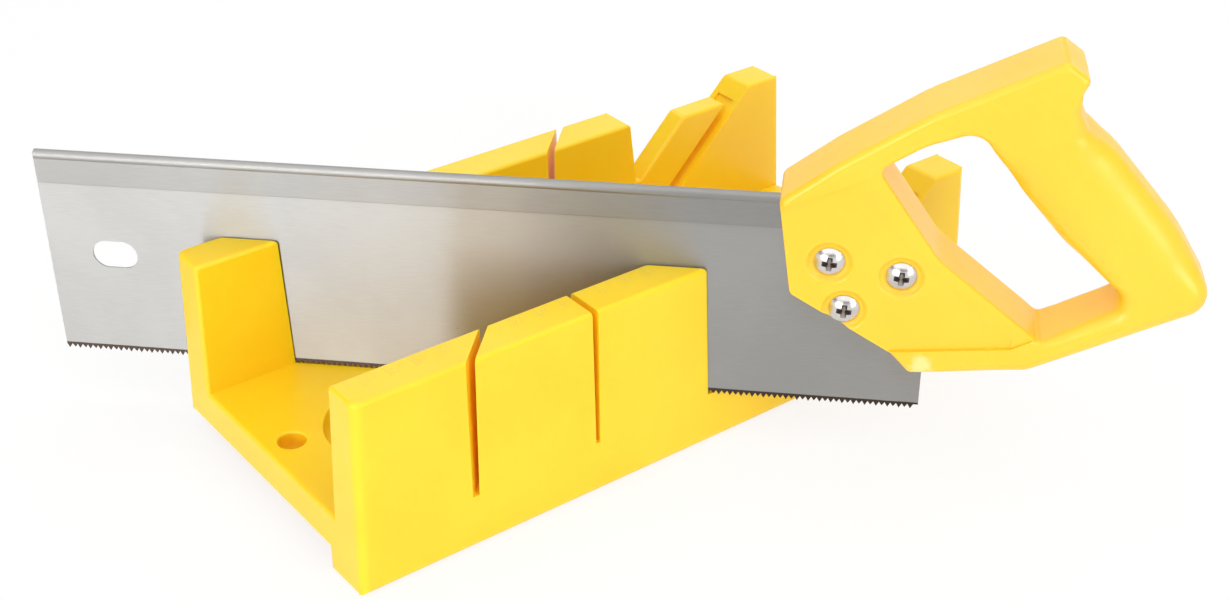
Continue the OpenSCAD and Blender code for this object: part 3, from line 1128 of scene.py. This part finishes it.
def nut(name, spot):
    bore_end = shank_l - seat + bore_room
    bore_r = shank_r + fit
    mouth = sleeve_gap - seat
    sleeve = [(0, bore_end), (bore_r, bore_end), (bore_r, mouth), (sleeve_r, mouth), (sleeve_r, seat)]
    shape = spun(sleeve + dome(), spot, 1)
    bmesh.ops.transform(shape, matrix=saw_place, verts=shape.verts)
    finished(name + "_nut_dome", shape, "saw", screw_chrome, [name + "_nut"])


for name, spot in screw_spots.items():
    screw(name, spot)
    nut(name, spot)

# %% [markdown]
# ## Floor and light
#
# The object stands on a plain pale floor, which looks white to the camera and in the steel and keeps a soft
# shadow. More light would bleach the yellow, so the room is dim and even, apart from a white backdrop along
# the horizon that only the camera and reflections see. Five soft lamps shape the object: one on the left,
# which the blade's tip mirrors, one high above, a narrow one in front and one on the right, which run a
# pale band down the grip, and one behind, whose sheen lies on the upper faces.

# %% Floor
floor_white = 0.8
floor_half = 6.0
floor_shape = bmesh.new()
bmesh.ops.create_grid(floor_shape, x_segments=1, y_segments=1, size=floor_half)
bmesh.ops.translate(floor_shape, verts=floor_shape.verts, vec=(0, 0, hook_low))
floor = in_scene("floor", mesh_of("floor", floor_shape))

floor_paint = Finish("floor")
card = floor_paint.node("BsdfPrincipled", {}, {"Base Color": rgb(0.90, 0.90, 0.90), "Roughness": 0.9})
glow = floor_paint.node("Emission", {}, {"Color": rgb(1.0, 1.0, 1.0), "Strength": 1.0})
shown = floor_paint.node("MixShader", {}, {0: floor_paint.seen() * floor_white, 1: card, 2: glow})
floor_paint.node("OutputMaterial", {}, {"Surface": shown})
floor.data.materials.append(floor_paint.owner)
print("floor of", 2 * floor_half, "m")

# %% World
room_light = 0.22
backdrop_top = 0.17
backdrop_fade = 0.34
room = Finish("white room", bpy.data.worlds)
direction = room.node("TexCoord", {}, {}, "Generated")
climb = room.node("SeparateXYZ", {}, {"Vector": direction}, "Z")
backdrop = room.seen() * room.step(climb, backdrop_top, backdrop_fade, 1 - room_light, 0.0)
sky = room.node("Background", {}, {"Color": rgb(1.0, 1.0, 1.0), "Strength": backdrop + room_light})
room.node("OutputWorld", {}, {"Surface": sky})
bpy.context.scene.world = room.owner
print("room light:", room_light)


# %% Lamps
def softbox(name, place, aim, size, power):
    """A large soft lamp at a place, turned to a point. Lengths are in metres, power in watts."""
    lamp = bpy.data.lights.new(name, "AREA")
    lamp.shape = "RECTANGLE"
    lamp.size, lamp.size_y = size
    lamp.energy = power
    turn = (Vector(aim) - Vector(place)).to_track_quat("-Z", "Y")
    in_scene(name, lamp).matrix_world = Matrix.Translation(place) @ turn.to_matrix().to_4x4()
    print("lamp", name, "of", power, "W")


softbox("left_lamp", (-1.49, -0.55, 0.30), (-0.49, 0.45, 0.25), (0.85, 0.6), 10.5)
softbox("top_lamp", (-0.30, -0.38, 1.55), (0.0, -0.1, 0.05), (3.0, 3.0), 39)
softbox("front_lamp", (0.10, -1.5, 0.40), (0.1, -0.15, 0.1), (0.45, 0.8), 5.5)
softbox("right_lamp", (1.5, -0.1, 1.0), (0.0, 0.0, 0.05), (1.0, 1.0), 5)
softbox("back_lamp", (0.7, 1.2, 1.0), (0.0, 0.0, 0.05), (1.5, 1.0), 5.5)
bpy.context.scene.view_settings.view_transform = "Standard"
bpy.context.scene.cycles.diffuse_bounces = 20
bpy.context.scene.cycles.max_bounces = 24
